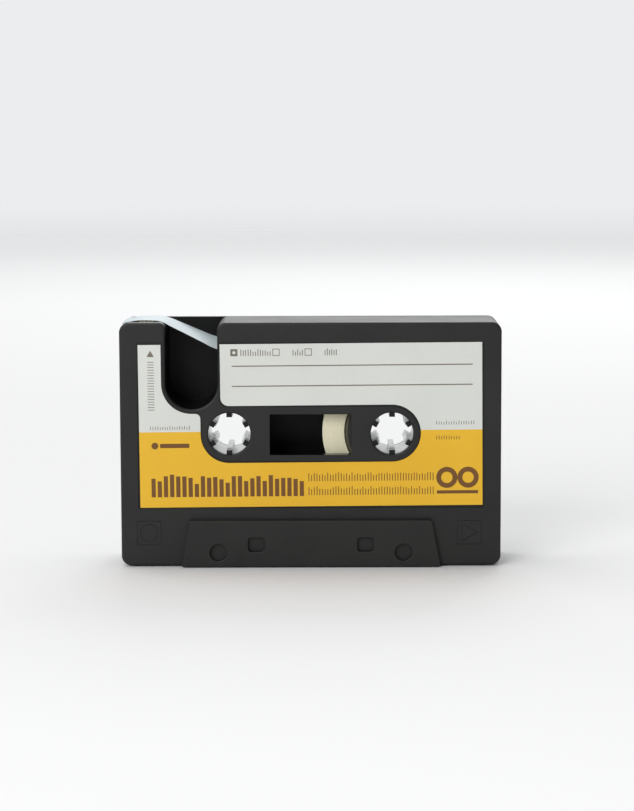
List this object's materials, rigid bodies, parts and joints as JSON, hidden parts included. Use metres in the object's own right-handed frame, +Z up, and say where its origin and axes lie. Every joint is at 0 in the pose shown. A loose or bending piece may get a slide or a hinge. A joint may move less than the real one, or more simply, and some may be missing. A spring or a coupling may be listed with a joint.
{
  "type": "tape dispenser",
  "caption": "Desk tape dispenser shaped like an audio cassette, with a pull-off rear cover, a roll that turns on a hub, a finger notch and a serrated blade.",
  "frame": {"origin": "on the surface that the feet stand on, under the middle of the bounding box", "axes": "+X to the right seen from the front, along the long side; +Y from the front face to the rear cover; +Z up"},
  "size_m": [0.14, 0.0356, 0.0911],
  "materials": {
    "case_plastic": "fine-textured black ABS moulding, warm grey-black",
    "label_print": "printed film, silver grey above and yellow below",
    "hub_plastic": "smooth pale grey moulding",
    "spool_plastic": "black moulding",
    "core_board": "spiral-wound grey-buff card",
    "wound_tape": "wound adhesive tape seen edge-on, cream",
    "free_tape": "single layer of clear matte tape, pale blue-white",
    "blade_steel": "stamped spring steel, bright cut edge",
    "pad_plastic": "ribbed tan moulding",
    "ballast_iron": "sawn steel bar, dull",
    "screw_steel": "zinc-plated steel",
    "foot_rubber": "matte black rubber"
  },
  "bodies": {
    "case": {"front_shell": "case_plastic", "front_label": "label_print", "hub_liner_left": "hub_plastic", "hub_liner_right": "hub_plastic", "tape_strip": "free_tape", "cutter_blade": "blade_steel", "landing_pad": "pad_plastic", "ballast_weight": "ballast_iron", "ballast_screw_1": "screw_steel", "ballast_screw_2": "screw_steel", "ballast_screw_3": "screw_steel", "ballast_screw_4": "screw_steel", "foot_1": "foot_rubber", "foot_2": "foot_rubber", "foot_3": "foot_rubber", "foot_4": "foot_rubber"},
    "cover": {"rear_cover": "case_plastic"},
    "roll": {"spool": "spool_plastic", "tape_core": "core_board", "tape_roll": "wound_tape"}
  },
  "joints": [
    {"name": "rear_cover_pull", "type": "slide", "parent": "case", "child": "cover", "axis": [0, 1, 0], "range_m": [0, 0.06]},
    {"name": "roll_spin", "type": "hinge", "parent": "case", "child": "roll", "pos_m": [0.0299, 0, 0.0494], "axis": [0, 1, 0], "continuous": true}
  ]
}
